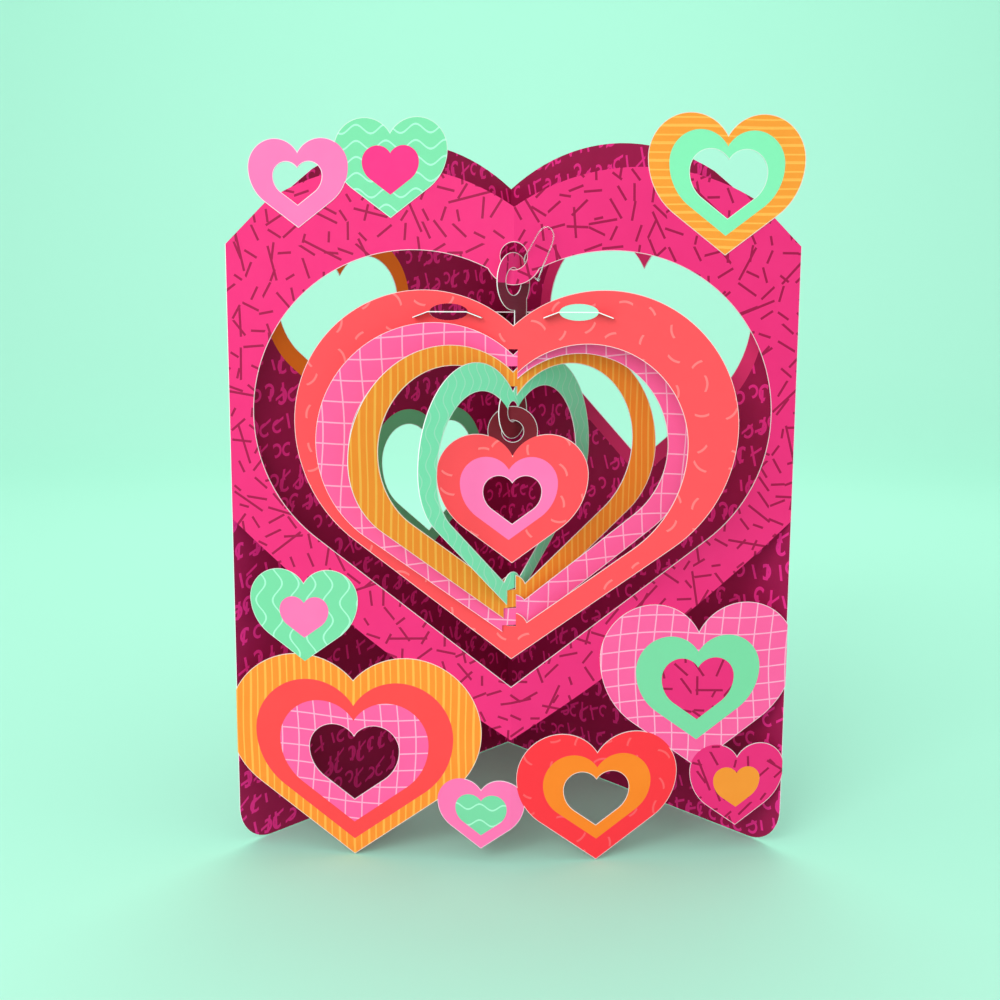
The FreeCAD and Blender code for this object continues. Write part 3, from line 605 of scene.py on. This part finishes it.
# Name, turn, print, outline and window as (tip, width, height, dip), height of the bump.
rings = [
    ("coral_ring", -6.0, marked_coral, (63.5, 127.6, 107.0, 10.0), (71.4, 99.4, 84.0, 9.6), 72.6),
    ("pink_ring", 12.0, grid_pink, (69.8, 112.0, 91.6, 9.1), (78.3, 93.6, 74.3, 8.4), 78.0),
    ("orange_ring", 31.0, striped_orange, (74.0, 103.0, 81.3, 7.8), (82.3, 85.2, 67.3, 10.7), 83.7),
    ("green_ring", 59.0, upright_waves, (78.3, 95.4, 72.5, 9.0), (84.0, 78.2, 58.9, 9.0), 84.6),
]
bump_radius = 5.0
tab_height, tab_radius, tab_eye_radius = 136.3, 7.8, 2.9
for name, turn, pattern, outside, inside, bump in rings:
    ring = PrintedSheet(name + "_print", turn)
    outline = heart_distance(ring.along, ring.z, 0, *outside)
    window = heart_distance(ring.along, ring.z, 0, *inside)
    opening = shared(window, 0 - ring.round_plate(bump, bump_radius))
    colour = pattern(ring)
    if name == "green_ring":
        tab = ring.round_plate(tab_height, tab_radius)
        colour = ring.mix((window < 0) * (tab < 0), colour, dark_wine(ring))
        opening = joined(shared(opening, 0 - tab), ring.round_plate(tab_height, tab_eye_radius))
    rim = (outline > -RIM).work("MAXIMUM", opening < RIM)
    dress(name, ring.finish(colour, rim))

# %% [markdown]
# ## The centre heart
# The coral heart in the middle hangs on a wine coloured eye, and carries a printed pink heart
# with a heart shaped hole. The print lies a millimetre to the left, as it does on the card.

# %% Centre heart
centre = PrintedSheet("centre_print")
plate_height, plate_radius, plate_eye_radius = 130.6, 7.2, 3.1
outline = heart_distance(centre.along, centre.z, 0, 92.2, 43.8, 37.6, 6.3)
hole = heart_distance(centre.along, centre.z, 0, 103.7, 16.8, 14.0, 2.2)
colour = centre.mix(outline < 0, dark_wine(centre), marked_coral(centre))
pink_print = printed_heart(centre.along, centre.z, -1.0, 99.0, 28.2, 123.2)
colour = centre.mix(pink_print, colour, plain_pink(centre))
plate = joined(outline, centre.round_plate(plate_height, plate_radius))
holes = joined(hole, centre.round_plate(plate_height, plate_eye_radius))
rim = (plate > -RIM).work("MAXIMUM", holes < RIM)
dress("centre_heart", centre.finish(colour, rim))

# %% [markdown]
# ## Hanger and strap
# The hanger is wine coloured below and magenta at its upper half. The wine coloured strap lies
# level, so its faces look up and down, and its cut edges show as white lines from the front.
# Only its glue flaps at the spine are printed and upright.

# %% Hanger and strap
hanger_height, neck_middle, neck_width, neck_top = 172.8, 3.6, 6.0, 168.4
glued_below, magenta_above, hanger_turn = 161, 172.4, 55.0
hanger = PrintedSheet("hanger_print", hanger_turn)
neck = shared(abs(hanger.along - neck_middle) - neck_width / 2, hanger.z - neck_top)
plate = joined(hanger.round_plate(hanger_height, nub_radius), neck)
hanger_rim = (plate > -RIM) * (hanger.z > glued_below)
hanger_rim = hanger_rim.work("MAXIMUM", hanger.round_plate(hanger_height, eye_radius) < RIM)
wine = tint(hanger, "7A1E38", "6C1830")
colour = hanger.mix(hanger.z > magenta_above, wine, dashed_magenta(hanger))
dress("hanger_tab", hanger.finish(colour, hanger_rim))

flap_start = 60
strap = PrintedSheet("strap_print")
level = strap.node("ShaderNodeTexCoord")["Normal"]
steep = abs(strap.node("ShaderNodeSeparateXYZ", {}, {0: level})["Z"]) < 0.5
depth = strap.node("ShaderNodeSeparateXYZ", {}, {0: strap.spot})["Y"] * PER_METRE
strap.edge = steep * (depth < flap_start)
dress("support_strap", strap.finish(dark_wine(strap)))

# %% [markdown]
# ## Clear nylon
# The thread is clear and glossy. A high transmission with a small roughness bends the magenta
# behind it, and the bright lines along it come from the lamps.

# %% Nylon
nylon = PrintedSheet("clear_nylon")
nylon.shader.inputs["Base Color"].default_value = ink("F4F4F6")
nylon.shader.inputs["Transmission Weight"].default_value = 0.85
nylon.shader.inputs["IOR"].default_value = 1.53
cloud = nylon.noise(1.5) * 0.08 + 0.08
nylon.tree.links.new(cloud.socket, nylon.shader.inputs["Roughness"])
for piece in (thread, knot):
    piece.data.materials.clear()
    piece.data.materials.append(nylon.material)
    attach(piece, "card")
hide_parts("thread_loop")
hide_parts("thread_knot")

# %% [markdown]
# ## The backdrop
# A paper sweep runs level under the card and then bends up into a wall, so no horizon shows. It
# is one strip of faces along a profile. Smooth shading hides the steps of the bend.

# %% Backdrop
pale, distant = (0.48, 0.93, 0.74, 1), (0.31, 0.65, 0.50, 1)
start, bend, reach, side = 0.9, 0.9, 3.0, 8.0
bend_steps, ground_gap = 12, 0.0002
profile = [(-reach, 0.0), (start, 0.0)]
for step in range(1, bend_steps + 1):
    angle = math.radians(90 * step / bend_steps)
    profile.append((start + bend * math.sin(angle), bend - bend * math.cos(angle)))
profile.append((start + bend, reach))
corners = [(x, y, z - ground_gap) for y, z in profile for x in (-side, side)]
faces = [(2 * i, 2 * i + 1, 2 * i + 3, 2 * i + 2) for i in range(len(profile) - 1)]
sweep_mesh = bpy.data.meshes.new("paper_sweep")
sweep_mesh.from_pydata(corners, [], faces)
sweep = bpy.data.objects.new("paper_sweep", sweep_mesh)
bpy.context.collection.objects.link(sweep)
for face in sweep_mesh.polygons:
    face.use_smooth = True
ground = bpy.data.materials.new("pale_sweep")
ground.use_nodes = True
ground_shader = next(n for n in ground.node_tree.nodes if n.type == "BSDF_PRINCIPLED")
ground_shader.inputs["Base Color"].default_value = pale
ground_shader.inputs["Roughness"].default_value = 0.9
ground_shader.inputs["Specular IOR Level"].default_value = 0.1
sweep_mesh.materials.append(ground)
print("sweep faces", len(faces))

# %% [markdown]
# ## The sky
# The sky lights the card from all sides with soft white, so that no fold falls into darkness.
# Where the camera looks past the sweep it sees a pale green instead, close to that of the wall.

# %% Sky
world = bpy.data.worlds.new("soft_sky")
bpy.context.scene.world = world
world.use_nodes = True
sky = world.node_tree
background = next(n for n in sky.nodes if n.type == "BACKGROUND")
path = sky.nodes.new("ShaderNodeLightPath")
shown = sky.nodes.new("ShaderNodeBackground")
shown.inputs["Color"].default_value = distant
background.inputs["Color"].default_value = (1, 1, 1, 1)
background.inputs["Strength"].default_value = 0.68
blend = sky.nodes.new("ShaderNodeMixShader")
output = next(n for n in sky.nodes if n.type == "OUTPUT_WORLD")
sky.links.new(path.outputs["Is Camera Ray"], blend.inputs[0])
sky.links.new(background.outputs[0], blend.inputs[1])
sky.links.new(shown.outputs[0], blend.inputs[2])
sky.links.new(blend.outputs[0], output.inputs["Surface"])
print("sky strength %.2f" % background.inputs["Strength"].default_value)

# %% [markdown]
# ## The lamps
# Two broad lamps near the camera light the inside of the card too, a weak one behind it keeps
# the edges clear, and one lamp is there for the wall alone. Broad lamps give soft shadows.

# %% Lamps
def lamp(name, place, size, power, target=(0, 0, 0.11)):
    light = bpy.data.lights.new(name, "AREA")
    light.size = size
    light.energy = power
    thing = bpy.data.objects.new(name, light)
    bpy.context.collection.objects.link(thing)
    thing.location = place
    thing.rotation_euler = (Vector(target) - Vector(place)).to_track_quat("-Z", "Y").to_euler()
    print("lamp", name, power, "watts")


lamp("key", (-0.45, -0.85, 0.6), size=0.5, power=3.6)
lamp("fill", (-0.15, -1.0, 0.3), size=0.5, power=2.8)
lamp("back", (0.1, 0.7, 0.7), size=0.6, power=1.0)
lamp("wall", (0.0, 0.7, 1.7), size=1.5, power=9, target=(0.0, 1.8, 0.7))

bpy.context.scene.view_settings.view_transform = "Standard"
